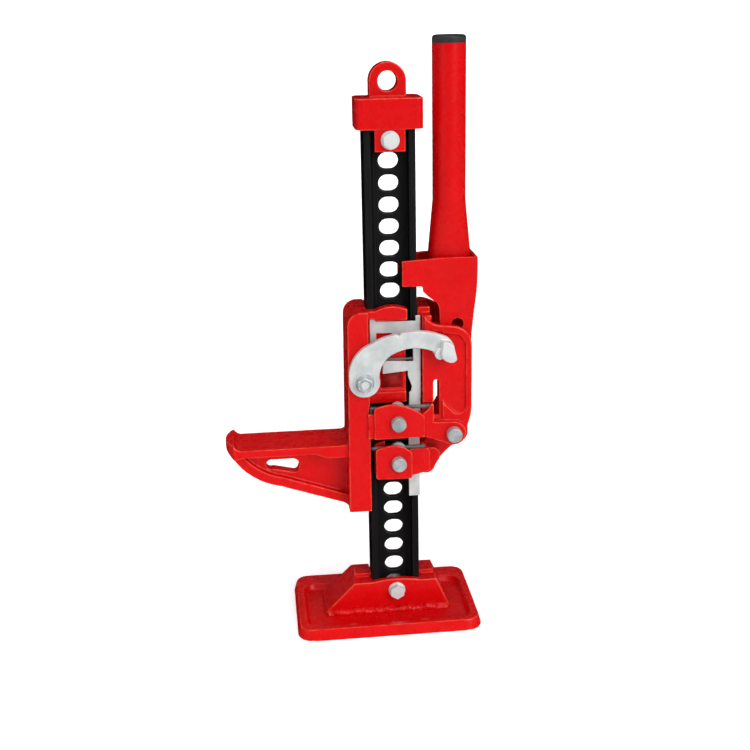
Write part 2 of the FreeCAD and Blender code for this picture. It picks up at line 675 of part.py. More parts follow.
def handle_socket():
    """Bent-plate socket, open towards the rack, with pads that grip the tube's flat end."""
    span = CHEEK_Y[1]
    sides = [cheek((-span, -CHEEK_Y[0])), cheek((CHEEK_Y[0], span))]
    web = plate(
        (72.0, 232),
        [
            (75.2, 232), (75.2, 240), ((75.8, 285), (79.6, 325)), ((81.6, 345), (SOCKET_RIGHT, SOCKET_TOP)),
            (SOCKET_RIGHT - 2.8, SOCKET_TOP), ((78.9, 354), (78.4, 336)), ((72.9, 285), (72.0, 240)),
        ],
        (-span + 1, span - 1),
    )
    pieces = sides + [web]
    for side in (-1, 1):
        pieces.append(box((46, 72), (side * 12.2, side * (CHEEK_Y[0] + 0.5)), (TUBE_LOW + 1, SOCKET_TOP - 4)))
        pieces.append(cyl_y(LINK_TOP[0], LINK_TOP[1], 7.6, (side * 8.2, side * (CHEEK_Y[0] + 0.5))))
    across = (-span - 1, span + 1)
    hole_x, hole_z, hole_r = SOCKET_HOLE
    cuts = [
        cyl_y(PIVOT[0], PIVOT[1], PIVOT_R + RUNNING, across),
        cyl_y(LINK_TOP[0], LINK_TOP[1], LINK_PIN_R, across),
        cyl_y(hole_x, hole_z, hole_r, across),
    ]
    return join(pieces).cut(Part.makeCompound(cuts))


def tube_section(inner, z, half_x, half_y):
    """Level ellipse or circle on the tube's axis; inner leaves the wall off."""
    a = half_x - inner
    b = half_y - inner
    if abs(a - b) < 1e-6:
        curve = Part.Circle(V(TUBE_X, 0, z), V(0, 0, 1), a)
    else:
        curve = Part.Ellipse(V(TUBE_X + a, 0, z), V(TUBE_X, b, z), V(TUBE_X, 0, z))
    return Part.Wire([curve.toShape()])


def tube_solid(inner, low, high):
    wide, deep = TUBE_FLAT
    flat = [tube_section(inner, z, wide, deep) for z in (low, TUBE_FLARE[0])]
    round_end = [tube_section(inner, z, TUBE_R, TUBE_R) for z in (TUBE_FLARE[1], high)]
    parts = [
        Part.makeLoft(flat, True, True),
        Part.makeLoft([flat[1], round_end[0]], True, True),
        Part.makeLoft(round_end, True, True),
    ]
    return join(parts)


def handle_tube():
    outer = tube_solid(0, TUBE_LOW, TUBE_TOP)
    return outer.cut(tube_solid(TUBE_WALL, TUBE_LOW - 1, TUBE_TOP + 1))


def handle_cap():
    """Plug that closes the top of the handle tube."""
    plug = Part.makeCylinder(TUBE_R - TUBE_WALL, 18, V(TUBE_X, 0, TUBE_TOP - 18))
    top = Part.makeCylinder(TUBE_R, CAP_TOP - TUBE_TOP, V(TUBE_X, 0, TUBE_TOP))
    cap = join([plug, top])
    rim = [e for e in cap.Edges if abs(e.CenterOfMass.z - CAP_TOP) < 1e-3]
    return cap.makeFillet(3.0, rim)


def pivot_pin():
    """Headed pin through both ears, drilled for its cotter."""
    end = REAR_LUG_Y + 9
    shank = cyl_y(PIVOT[0], PIVOT[1], PIVOT_R, (LUG_Y - 1, end))
    radius, length = PIN_HEAD
    head = cyl_y(PIVOT[0], PIVOT[1], radius, (LUG_Y - length, LUG_Y))
    edge = [e for e in head.Edges if abs(e.CenterOfMass.y - (LUG_Y - length)) < 1e-3]
    head = head.makeFillet(1.4, edge)
    hole = Part.makeCylinder(1.6, 20, V(PIVOT[0], REAR_LUG_Y + 5, PIVOT[1] - 10))
    return join([shank, head]).cut(hole)


def pivot_cotter():
    """Split cotter: an eye above the pin and a straight leg through it."""
    y = REAR_LUG_Y + 5
    leg = Part.makeCylinder(1.5, 21, V(PIVOT[0], y, PIVOT[1] - 11))
    eye = Part.makeTorus(3.0, 1.4, V(PIVOT[0], y, PIVOT[1] + 13.0), V(0, 1, 0))
    return join([leg, eye])


def climbing_pin(z):
    """Pin with a reduced tip and the upright lug that carries its cross pin."""
    tip = cyl_y(PIN_X, z, PIN_TIP_R, (PIN_STEP_Y, PIN_TIP_Y))
    edge = [e for e in tip.Edges if abs(e.CenterOfMass.y - PIN_TIP_Y) < 1e-3]
    tip = tip.makeChamfer(1.0, edge)
    body = cyl_y(PIN_X, z, PIN_R, (PIN_END_Y, PIN_STEP_Y))
    edge = [e for e in body.Edges if abs(e.CenterOfMass.y - PIN_END_Y) < 1e-3]
    body = body.makeFillet(1.0, edge)
    lug_top = z + CROSS_RISE - 2.2
    lug = box((PIN_X - PIN_LUG_HALF, PIN_X + PIN_LUG_HALF), PIN_LUG_Y, (z, lug_top))
    crown = cyl_y(PIN_X, lug_top, PIN_LUG_HALF, PIN_LUG_Y)
    hole = cyl_x(CROSS_Y, z + CROSS_RISE, CROSS_R, (-30, 30))
    return join([tip, body, lug, crown]).cut(hole)


def cross_pin(z, left, right, leg):
    """Rod through the lug; leg is how far its left end is bent down."""
    height = z + CROSS_RISE
    rod = cyl_x(CROSS_Y, height, CROSS_R, (left, right))
    pieces = [rod, Part.makeSphere(CROSS_R + 0.2, V(left, CROSS_Y, height))]
    if leg:
        pieces.append(Part.makeCylinder(CROSS_R - 0.3, leg, V(left, CROSS_Y, height - leg)))
    return join(pieces)


def pin_spring(z):
    """Conical spring, closed flat: two coils in one plane round the pin."""
    y = (BAND_FRONT + BOSS_WALL + PIN_LUG_Y[0]) / 2
    wire = 0.65
    rings = [Part.makeTorus(radius, wire, V(PIN_X, y, z), V(0, 1, 0)) for radius in (8.3, 10.4)]
    return Part.makeCompound(rings)


def control_frame():
    """Flat plated frame: top bar, lower bar with its cam notch, and the long strip down the rack."""
    y = FRAME_Y
    top = plate(
        (-22.2, 291),
        [
            (-16.1, 291), (-16.1, 301.5), (-1.5, 301), (3.9, 296.6), (8.6, 300.8), (26.4, 300.6),
            (26.4, 317.2), (21.8, 317.2), (21.8, 311.8), (-16.3, 313.2), (-16.3, 315.6), (-22.2, 315.6),
        ],
        y,
    )
    upper = box(STRIP_UPPER_X, y, (268, 303))
    lower = plate(
        (STRIP_X[0], 272),
        [
            (STRIP_UPPER_X[1], 272), (STRIP_UPPER_X[1], 240), (STRIP_X[1], 200), (STRIP_X[1], STRIP_BOTTOM),
            (STRIP_X[0], STRIP_BOTTOM), (STRIP_X[0], 200), (15.2, 240.5), (16.8, 241.6), (17.8, 246.6),
            (STRIP_X[0], 257),
        ],
        y,
    )
    bar = plate(
        (STRIP_X[0] + 2, 262.8),
        [(STRIP_X[0] + 2, 272), (-5.6, 273.3), ((-9.2, 272), (-10.4, 269)), (-10.6, 260.4)],
        y,
    )
    return join([top, upper, lower, bar])


def frame_wire():
    """Spring wire that lies along the lower bar."""
    radius = 1.2
    return cyl_x(FRAME_Y[1] - 1.2, 273.5 + radius, radius, (-6, 18.6))


def reversing_latch():
    """Curved latch arm on its eye, with a finger tab bent forwards at its end."""
    px, pz = LATCH_PIVOT
    arm = plate(
        (-44.2, 261),
        [
            ((-39.5, 281.5), (-23.5, 295.0)), ((-5, 302.3), (2, 303.6)), (3.9, 301.6), (6, 304.6),
            ((27, 305.4), (45, 300.8)), ((54.5, 294), (57, 284)), (58.2, 277.4), (49, 276.6), (45.5, 279.2),
            (39, 280), (36, 285.8),
            ((16.3, 289.6), (-3, 284.2)), ((-12, 275), (-15.4, 262)), (px, pz),
        ],
        LATCH_Y,
    )
    eye = cyl_y(px, pz, LATCH_EYE_R, LATCH_Y)
    tab = plate(
        (44.5, 296.5),
        [
            ((52.5, 294.5), (55.8, 288)), (57.8, 279.5), ((55, 276.6), (49, 277.2)),
            ((44.3, 280.5), (43.6, 287)),
        ],
        (LATCH_TIP_Y, LATCH_Y[0] + 1),
    )
    nub = cyl_y(42.4, 283.4, 5.0, (LATCH_Y[0] - 4.5, LATCH_Y[0] + 1))
    bore = cyl_y(px, pz, LATCH_BOLT_R + RUNNING, (LATCH_TIP_Y, -20))
    return join([arm, eye, tab, nub]).cut(bore)


def latch_bolt():
    px, pz = LATCH_PIVOT
    front = LATCH_Y[0] - LATCH_PLAY - WASHER_T
    shank = cyl_y(px, pz, LATCH_BOLT_R, (front, LATCH_BOLT_END))
    head = hexagon(px, pz, M8_AF, (front - M8_HEAD, front))
    return join([shank, head])


def top_clevis():
    """Cap on the rack's head with two cheeks for its bolt and an eye for a shackle."""
    cap = box((-CLEVIS_X, CLEVIS_X), (-CLEVIS_Y, CLEVIS_Y), CLEVIS_Z)
    upright = [e for e in cap.Edges if abs(e.Vertexes[0].Z - e.Vertexes[1].Z) > 1]
    cap = cap.makeFillet(6.0, upright)
    pieces = [cap]
    for side in (-1, 1):
        y = (side * IN_Y, side * CLEVIS_CHEEK_Y)
        pieces.append(box((-CLEVIS_CHEEK_X, CLEVIS_CHEEK_X), y, (CLEVIS_CHEEK_Z, CLEVIS_Z[0] + 1)))
    neck = box((-EYE_OUTER, EYE_OUTER), (-EYE_HALF, EYE_HALF), (CLEVIS_Z[1] - 1, EYE_Z))
    eye = cyl_y(0, EYE_Z, EYE_OUTER, (-EYE_HALF, EYE_HALF))
    rack_top = RACK_BOTTOM + RACK_LENGTH
    pocket = box((-IN_X, IN_X), (-IN_Y, IN_Y), (CLEVIS_CHEEK_Z - 1, rack_top))
    across = (-CLEVIS_Y, CLEVIS_Y)
    bolt = cyl_y(0, LAST_HOLE_Z, CLEAR_R, across)
    bore = cyl_y(0, EYE_Z, EYE_R, across)
    return join(pieces + [neck, eye]).cut(pocket).cut(bolt).cut(bore)


def main():
    os.makedirs("parts", exist_ok=True)
    save("rack", rack())
    save("base_plate", base_plate())
    save("base_saddle", base_saddle())
    bolt, washers, nut = through_bolt(FIRST_HOLE_Z, (-SADDLE_Y, WEB_T / 2), WIDE_WASHER_R)
    save("base_bolt", bolt)
    save("base_washers", washers)
    save("base_nut", nut)
    save("top_clevis", top_clevis())
    bolt, washers, nut = through_bolt(LAST_HOLE_Z, (-CLEVIS_CHEEK_Y, CLEVIS_CHEEK_Y), WASHER_R)
    save("clevis_bolt", bolt)
    save("clevis_washers", washers)
    save("clevis_nut", nut)
    save("large_runner", large_runner())
    save("handle_pivot_pin", pivot_pin())
    save("pivot_washer", washer(PIVOT[0], PIVOT[1], 12.0, PIVOT_R, (REAR_LUG_Y, REAR_LUG_Y + 2)))
    save("pivot_cotter", pivot_cotter())
    save("latch_bolt", latch_bolt())
    px, pz = LATCH_PIVOT
    front = LATCH_Y[0] - LATCH_PLAY
    save("latch_washer", washer(px, pz, LATCH_WASHER_R, LATCH_BOLT_R, (front - WASHER_T, front)))
    save("small_runner", small_runner())
    save("pitman_pin", cyl_y(LINK_LOW[0], LINK_LOW[1], LINK_PIN_R, LINK_PIN_Y))
    save("pitman", pitman())
    save("handle_socket", handle_socket())
    save("pitman_shear_pin", cyl_y(LINK_TOP[0], LINK_TOP[1], LINK_PIN_R, (-CHEEK_Y[1], CHEEK_Y[1])))
    save("handle_tube", handle_tube())
    save("handle_cap", handle_cap())
    save("reversing_latch", reversing_latch())
    save("control_frame", control_frame())
    save("frame_wire", frame_wire())
    rods = (("upper", UPPER_PIN_Z, -23.1, 34.5, 14.0), ("lower", LOWER_PIN_Z, -22.3, 29.0, 0))
    for name, z, left, right, leg in rods:
        save(name + "_climbing_pin", climbing_pin(z))
        save(name + "_cross_pin", cross_pin(z, left, right, leg))
        save(name + "_pin_spring", pin_spring(z))


main()
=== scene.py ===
import json
import math
import random

import bmesh
import bpy
from mathutils import Matrix, Vector


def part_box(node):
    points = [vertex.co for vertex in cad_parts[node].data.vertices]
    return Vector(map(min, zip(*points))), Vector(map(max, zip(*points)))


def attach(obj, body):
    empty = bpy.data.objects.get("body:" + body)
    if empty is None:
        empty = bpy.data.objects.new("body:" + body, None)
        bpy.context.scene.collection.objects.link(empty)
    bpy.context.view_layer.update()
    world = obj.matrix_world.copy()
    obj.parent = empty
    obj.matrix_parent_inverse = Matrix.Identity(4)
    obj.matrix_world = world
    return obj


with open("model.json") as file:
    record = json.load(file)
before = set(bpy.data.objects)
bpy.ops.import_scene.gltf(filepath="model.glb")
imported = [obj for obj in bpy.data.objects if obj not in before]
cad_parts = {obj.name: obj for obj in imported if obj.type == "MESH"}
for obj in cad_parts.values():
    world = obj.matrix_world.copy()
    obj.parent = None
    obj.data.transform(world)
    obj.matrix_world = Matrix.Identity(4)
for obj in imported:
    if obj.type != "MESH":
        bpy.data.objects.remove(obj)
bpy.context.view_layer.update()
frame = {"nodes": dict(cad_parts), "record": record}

# Looks of the ratchet rack jack: softened castings, procedural enamel, zinc and steel, welds and threads.
# Metres, in the model's own frame.

MM = 0.001
NODES = frame["nodes"]

# ---- camera ----
SENSOR = 36.0                      # width in millimetres
LENS = 56.64                       # focal length in millimetres
LOOK_AT = Vector((-0.0159, 0.0, 0.2532))
DISTANCE = 1.1578
AZIMUTH = math.radians(5.80)       # the camera stands to the left and looks a little towards +X
ELEVATION = math.radians(18.0)
ROLL = math.radians(-1.136)

# ---- lamps: azimuth from the front towards +X, elevation, width in degrees, strength ----
LAMPS = {
    "key": (32.0, 24.0, 42.0, 1.95),
    "fill": (-50.0, 22.0, 50.0, 0.42),
    "top": (-12.0, 76.0, 40.0, 0.95),
}
SKY_STRENGTH = 0.17

# ---- studio, metres ----
FLOOR_HALF_WIDTH = 4.0
SWEEP_START = 2.5                  # how far behind the jack the floor begins to rise
SWEEP_RADIUS = 1.5
SWEEP_TOP = 4.0
SWEEP_STEPS = 12
FLOOR_GLOW = 0.50
WALL_RADIUS = 3.9
WALL_TOP = 6.0
WALL_SIDES = 64

# ---- driving sizes shared with the frame ----
BASE_FLOOR_Z = 5.0 * MM            # sunken floor of the base plate
M8_RADIUS = 4.0 * MM
M8_PITCH = 1.25 * MM
POCKET_BACK_Y = -16.4 * MM         # back of the pocket behind the latch
POCKET_X = (-12.3 * MM, 8.5 * MM)  # how far the painted shade reaches in the pocket
POCKET_Z = (245.1 * MM, 260.4 * MM)
SHADE_SHEET_THICKNESS = 0.9 * MM
SHADE_SHEET_EDGE = 0.3 * MM

# ---- welds round the saddle's foot ----
WELD_LIFT = 1.2 * MM               # centre of each bead above the sunken floor
WELD_INSET_X = 1.5 * MM            # ends of the beads, inside the saddle's box
WELD_INSET_Y = 3.2 * MM
WELD_RADII = {"weld_front": 4.4, "weld_rear": 4.2, "weld_left": 2.6, "weld_right": 2.6}
BEAD_STEP = 0.7 * MM
BEAD_WANDER = 6                    # steps between two changes of the bead's drift
BEAD_RIPPLE = 8                    # steps in one ripple of the weld pool
BEAD_SIDES = 14
BEAD_TAPER = 6.0                   # how fast each end swells, in radii over the bead's length
BEAD_END = 0.35                    # of the radius, at the very ends
BEAD_MEAN = 0.92                   # of the radius, before ripple and drift
BEAD_RIPPLE_SIZE = 0.10
BEAD_DRIFT = 0.16
BEAD_RISE = 0.25
SPATTER_NEAR = 14 * MM             # strip in front of the saddle where spatter lies
SPATTER_FAR = 4 * MM
SPATTER_COUNT = 46
SPATTER_SIZE = (0.35, 0.95)
SPATTER_FLATNESS = 0.6

# ---- bolt threads and the latch bolt's head ----
THREAD_STEPS = 24                  # per turn
THREAD_SIDES = 6
THREAD_RIDGE = 0.28                # of the pitch
THREAD_START = 0.1 * MM            # clear of the nut
THREAD_END = 0.4 * MM              # how much shorter the thread is than the bolt's free end
HEAD_CROWN = 0.5 * MM              # how far the head's rim stands before the bolt's own face
HEAD_DISH = 0.7 * MM               # depth of the dish in the face
HEAD_SIDES = 48

# ---- colours, linear ----
RED = (0.66, 0.0012, 0.0024, 1)
RED_DEEP = (0.61, 0.0010, 0.0021, 1)
# bright orange for the red's edges: a painted highlight, where the enamel also runs thin
RED_THIN_AND_HIGHLIGHT = (1.0, 0.19, 0.09, 1)
# dark red for the pocket behind the latch: painted shade that stands in for the shadow in that recess
POCKET_SHADE = (0.20, 0.004, 0.004, 1)
POCKET_SHADE_PALER = (0.33, 0.008, 0.007, 1)
BLACK = (0.0065, 0.0065, 0.0075, 1)
BLACK_WORN = (0.045, 0.045, 0.048, 1)
ZINC = (0.80, 0.83, 0.82, 1)
ZINC_DULL = (0.60, 0.64, 0.64, 1)
STEEL = (0.54, 0.58, 0.60, 1)
STEEL_DULL = (0.32, 0.355, 0.365, 1)
DARK_STEEL = (0.05, 0.05, 0.052, 1)
DARK_WORN = (0.16, 0.16, 0.16, 1)
RUBBER = (0.012, 0.012, 0.012, 1)
FLOOR = (0.90, 0.90, 0.90, 1)
FLOOR_CLOUD = (0.88, 0.88, 0.88, 1)
WALL = (1, 1, 1, 1)
WALL_CLOUD = (0.97, 0.97, 0.97, 1)

# ---- finishes by the record's slots, with depths in metres ----
# name, depth of the cast skin, depth of the orange peel, share of thin paint and painted highlight along
# edges
ENAMELS = {
    "red_enamel": ("red_enamel_cast", 0.00006, 0.00001, 0.75),
    "red_enamel_plate": ("red_enamel_pressed", 0.00004, 0.00001, 0.75),
    "red_enamel_tube": ("red_enamel_drawn", 0.00002, 0.000005, 0.0),
}
# name, bright, dull, scale of the grain, roughness, depth of the grain, scale of the clouds
METALS = {
    "zinc_plate": ("zinc_plated_sheet", ZINC, ZINC_DULL, 900.0, (0.32, 0.48), 0.00002, 60.0),
    "zinc_cast": ("zinc_plated_casting", ZINC, ZINC_DULL, 420.0, (0.36, 0.52), 0.00006, 60.0),
    "steel_pin": ("ground_steel", STEEL, STEEL_DULL, 700.0, (0.26, 0.42), 0.00003, 150.0),
    "dark_steel": ("oiled_dark_steel", DARK_WORN, DARK_STEEL, 500.0, (0.30, 0.5), 0.00004, 60.0),
    "spring_steel": ("spring_wire", STEEL, STEEL_DULL, 700.0, (0.25, 0.4), 0.00002, 60.0),
}
METALLIC = 0.3                     # dull plating, so mostly diffuse
METAL_WEAR = 0.6
ENAMEL_ROUGHNESS = (0.24, 0.31)
BLACK_ROUGHNESS = (0.34, 0.52)
PLASTIC_ROUGHNESS = (0.5, 0.65)
SHADE_SHEET_ROUGHNESS = (0.45, 0.7)
STREAK_DEPTH = 0.00006
MILL_DEPTH = 0.00005
PEBBLE_DEPTH = 0.00008
SHADE_SHEET_DEPTH = 0.00006

# ---- edges by curvature, where 0.5 is flat: wear, and on the red enamel thin paint with a painted highlight, starts at the first number and is full at the second ----
RED_THIN_AND_HIGHLIGHT_EDGES = (0.515, 0.565)
BLACK_EDGES = (0.52, 0.60)
METAL_EDGES = (0.52, 0.62)

# ---- levels of a noise between which it goes from none to all ----
EVEN_RANGE = (0.3, 0.7)
CLOUD_RANGE = (0.35, 0.65)
RED_CLOUD_RANGE = (0.35, 0.68)
THIN_AND_HIGHLIGHT_RANGE = (0.3, 0.5)
RUB_RANGE = (0.35, 0.6)

# ---- scales of the patterns, per metre ----
RED_CLOUDS = 28.0
CAST_SKIN = 75.0
GLOSS_PATCHES = 90.0
THIN_AND_HIGHLIGHT_PATCHES = 160.0
ORANGE_PEEL = 620.0
MILL_STREAKS = 420.0
STREAK_STRETCH = 0.06              # along the bar
RUB_PATCHES = 140.0
MILL_GRAIN = 500.0
PEBBLES = 900.0
PLASTIC_CLOUDS = 60.0
SHADE_SHEET_CLOUDS = 190.0
SHADE_SHEET_GRAIN = 500.0
FLOOR_CLOUDS = 3.0
WALL_CLOUDS = 1.0

# ---- softened edges: voxel, rounds of smoothing, share of faces kept, scale and depth of a cast skin ----
SOFTENED = {
    "large_runner": (0.8 * MM, 4, 0.4, (0.016, 0.26 * MM)),
    "small_runner": (0.6 * MM, 4, 0.6, (0.014, 0.24 * MM)),
    "base_saddle": (0.8 * MM, 3, 0.6, (0.015, 0.30 * MM)),
    "base_plate": (1.0 * MM, 3, 0.6, (0.030, 0.40 * MM)),
    "top_clevis": (0.7 * MM, 4, 0.6, (0.012, 0.25 * MM)),
    "pitman": (0.6 * MM, 4, 0.6, (0.010, 0.25 * MM)),
    "handle_socket": (0.6 * MM, 2, 0.4),
    "reversing_latch": (0.5 * MM, 6, 0.6, (0.008, 0.20 * MM)),
    "control_frame": (0.35 * MM, 2, 0.5),
    "rack": (0.7 * MM, 2, 0.35),
}


def make_camera():
    """Camera from a look-at point, azimuth, elevation, roll and distance."""
    ahead = Vector((
        math.sin(AZIMUTH) * math.cos(ELEVATION),
        math.cos(AZIMUTH) * math.cos(ELEVATION),
        -math.sin(ELEVATION),
    ))
    level = Vector((math.cos(AZIMUTH), -math.sin(AZIMUTH), 0))
    upright = level.cross(ahead)
    right = math.cos(ROLL) * level + math.sin(ROLL) * upright
    up = math.cos(ROLL) * upright - math.sin(ROLL) * level
    data = bpy.data.cameras.new("camera")
    data.lens = LENS
    data.sensor_width = SENSOR
    camera = bpy.data.objects.new("camera", data)
    bpy.context.scene.collection.objects.link(camera)
    turn = Matrix((right, up, -ahead)).transposed().to_4x4()
    camera.matrix_world = Matrix.Translation(LOOK_AT - ahead * DISTANCE) @ turn
    bpy.context.scene.camera = camera


def soft_sun(name, azimuth, elevation, angle, strength):
    """Distant soft box: azimuth from the front towards +X, elevation above the floor, width in degrees."""
    data = bpy.data.lights.new(name, "SUN")
    data.angle = math.radians(angle)
    data.energy = strength
    lamp = bpy.data.objects.new(name, data)
    bpy.context.scene.collection.objects.link(lamp)
    turn, rise = math.radians(azimuth), math.radians(elevation)
    towards = Vector((math.sin(turn) * math.cos(rise), -math.cos(turn) * math.cos(rise), math.sin(rise)))
    lamp.rotation_mode = "QUATERNION"
    lamp.rotation_quaternion = towards.to_track_quat("Z", "Y")


def make_lights():
    for name, lamp in LAMPS.items():
        soft_sun(name, *lamp)
    world = bpy.data.worlds.new("studio")
    world.use_nodes = True
    sky = world.node_tree.nodes["Background"]
    sky.inputs["Color"].default_value = (1, 1, 1, 1)
    sky.inputs["Strength"].default_value = SKY_STRENGTH
    bpy.context.scene.world = world
    world.cycles_visibility.glossy = False      # black cards all round, so that enamel shows only the lamps
    bpy.context.scene.view_settings.view_transform = "Standard"


# ---- materials ----
def node(tree, kind, inputs=None, **settings):
    """Adds a shader node; inputs are constants or other nodes' outputs, by socket name or number."""
    made = tree.nodes.new("ShaderNode" + kind)
    for key, value in settings.items():
        setattr(made, key, value)
    for socket, value in (inputs or {}).items():
        if isinstance(value, bpy.types.NodeSocket):
            tree.links.new(value, made.inputs[socket])
        else:
            made.inputs[socket].default_value = value
    return made


def principled(name, **constants):
    """Material with its plain numbers set on the shader's own sockets."""
    material = bpy.data.materials.new(name)
    material.use_nodes = True
    tree = material.node_tree
    shader = tree.nodes["Principled BSDF"]
    for socket, value in constants.items():
        shader.inputs[socket.replace("_", " ")].default_value = value
    place = node(tree, "TexCoord").outputs["Object"]
    return material, tree, shader, place


def noise(tree, place, scale, detail=3.0, roughness=0.55):
    inputs = {"Vector": place, "Scale": scale, "Detail": detail, "Roughness": roughness}
    return node(tree, "TexNoise", inputs).outputs[0]


def spread(tree, value, low, high, to_low=0.0, to_high=1.0):
    """Maps low..high of a value to another range, clamped."""
    inputs = {"Value": value, "From Min": low, "From Max": high, "To Min": to_low, "To Max": to_high}
    return node(tree, "MapRange", inputs).outputs[0]


def mixed(tree, share, first, second):
    return node(tree, "Mix", {0: share, 6: first, 7: second}, data_type="RGBA").outputs[2]


def times(tree, first, second):
    return node(tree, "Math", {0: first, 1: second}, operation="MULTIPLY").outputs[0]


def bump(tree, height, depth, below=None):
    inputs = {"Height": height, "Distance": depth, "Strength": 1.0}
    if below is not None:
        inputs["Normal"] = below
    return node(tree, "Bump", inputs).outputs[0]


def edges(tree, low, high):
    """1 on outer edges and 0 on flat faces, from the mesh's own curvature."""
    return spread(tree, node(tree, "NewGeometry").outputs["Pointiness"], low, high)


def enamel(name, lumps, peel, edge_thin_and_highlight):
    """Gloss red enamel: runs thin over edges, which also get a painted highlight in bright orange, with
    orange peel over a cast skin.
    """
    material, tree, shader, place = principled(
        name, Coat_Weight=0.16, Coat_Roughness=0.20, Specular_IOR_Level=0.18
    )
    cloud = spread(tree, noise(tree, place, RED_CLOUDS, 4.0), *RED_CLOUD_RANGE)
    body = mixed(tree, cloud, RED, RED_DEEP)
    # painted highlight: curved edges, in patches, are mixed towards a bright orange, where the enamel also
    # runs thin
    thin = times(tree, edges(tree, *RED_THIN_AND_HIGHLIGHT_EDGES), spread(tree, noise(tree, place, THIN_AND_HIGHLIGHT_PATCHES), *THIN_AND_HIGHLIGHT_RANGE))
    colour = mixed(tree, times(tree, thin, edge_thin_and_highlight), body, RED_THIN_AND_HIGHLIGHT)
    tree.links.new(colour, shader.inputs["Base Color"])
    rough = spread(tree, noise(tree, place, GLOSS_PATCHES, 2.0), *EVEN_RANGE, *ENAMEL_ROUGHNESS)
    tree.links.new(rough, shader.inputs["Roughness"])
    skin = bump(tree, noise(tree, place, CAST_SKIN, 3.0), lumps)
    skin = bump(tree, noise(tree, place, ORANGE_PEEL, 1.0), peel, skin)
    tree.links.new(skin, shader.inputs["Normal"])
    return material


def black_enamel():
    """Satin black over rolled steel: faint mill streaks up the bar, rubbed along the edges."""
    material, tree, shader, place = principled("black_enamel_satin", Specular_IOR_Level=0.22)
    stretched = node(tree, "Mapping", {"Vector": place, "Scale": (1.0, 1.0, STREAK_STRETCH)}).outputs[0]
    streaks = noise(tree, stretched, MILL_STREAKS, 3.0)
    rubbed = times(tree, edges(tree, *BLACK_EDGES), spread(tree, noise(tree, place, RUB_PATCHES), *RUB_RANGE))
    tree.links.new(mixed(tree, rubbed, BLACK, BLACK_WORN), shader.inputs["Base Color"])
    tree.links.new(spread(tree, streaks, *EVEN_RANGE, *BLACK_ROUGHNESS), shader.inputs["Roughness"])
    skin = bump(tree, streaks, STREAK_DEPTH)
    skin = bump(tree, noise(tree, place, MILL_GRAIN, 2.0), MILL_DEPTH, skin)
    tree.links.new(skin, shader.inputs["Normal"])
    return material


def metal(name, bright, dull, grain, rough, depth, patch):
    """Bare or plated metal: cloudy brightness, fine grain, and brighter rubbed edges."""
    material, tree, shader, place = principled(name, Metallic=METALLIC)
    cloud = spread(tree, noise(tree, place, patch, 4.0), *CLOUD_RANGE)
    body = mixed(tree, cloud, bright, dull)
    rubbed = times(tree, edges(tree, *METAL_EDGES), METAL_WEAR)
    tree.links.new(mixed(tree, rubbed, body, bright), shader.inputs["Base Color"])
    speckle = noise(tree, place, grain, 2.0)
    tree.links.new(spread(tree, speckle, *EVEN_RANGE, *rough), shader.inputs["Roughness"])
    tree.links.new(bump(tree, speckle, depth), shader.inputs["Normal"])
    return material


def moulded(name, colour):
    """Moulded black plastic with a fine pebble."""
    material, tree, shader, place = principled(name)
    pebble = node(tree, "TexVoronoi", {"Vector": place, "Scale": PEBBLES}).outputs[0]
    cloud = noise(tree, place, PLASTIC_CLOUDS)
    body = mixed(tree, spread(tree, cloud, *EVEN_RANGE), colour, BLACK_WORN)
    tree.links.new(body, shader.inputs["Base Color"])
    tree.links.new(spread(tree, cloud, *EVEN_RANGE, *PLASTIC_ROUGHNESS), shader.inputs["Roughness"])
    tree.links.new(bump(tree, pebble, PEBBLE_DEPTH), shader.inputs["Normal"])
    return material


def make_materials():
    """One material for each slot of the record."""
    materials = {slot: enamel(*finish) for slot, finish in ENAMELS.items()}
    materials["black_enamel"] = black_enamel()
    for slot, finish in METALS.items():
        materials[slot] = metal(*finish)
    materials["cap_plastic"] = moulded("cap_moulded", RUBBER)
    return materials


def dress_nodes(materials):
    """Gives every CAD node the material of its slot."""
    slots = {part["node"]: part["material_slot"] for part in frame["record"]["subparts"]}
    for name, thing in NODES.items():
        thing.data.materials.clear()
        thing.data.materials.append(materials[slots[name]])


# ---- softened edges ----
def soften(name, voxel, rounds, keep, waves=None):
    """Rounds every edge of a node by a fine remesh and a little smoothing; waves adds an uneven cast skin."""
    thing = NODES[name]
    remesh = thing.modifiers.new("remesh", "REMESH")
    remesh.mode = "VOXEL"
    remesh.voxel_size = voxel
    remesh.use_smooth_shade = True
    smooth = thing.modifiers.new("smooth", "SMOOTH")
    smooth.factor = 0.5
    smooth.iterations = rounds
    if waves:
        texture = bpy.data.textures.new(name + "_waves", "CLOUDS")
        texture.noise_scale = waves[0]
        texture.noise_depth = 1
        displace = thing.modifiers.new("waves", "DISPLACE")
        displace.texture = texture
        displace.texture_coords = "LOCAL"
        displace.strength = waves[1]
        displace.mid_level = 0.5
    thin = thing.modifiers.new("thin", "DECIMATE")
    thin.ratio = keep


def soften_castings():
    for name, finish in SOFTENED.items():
        soften(name, *finish)


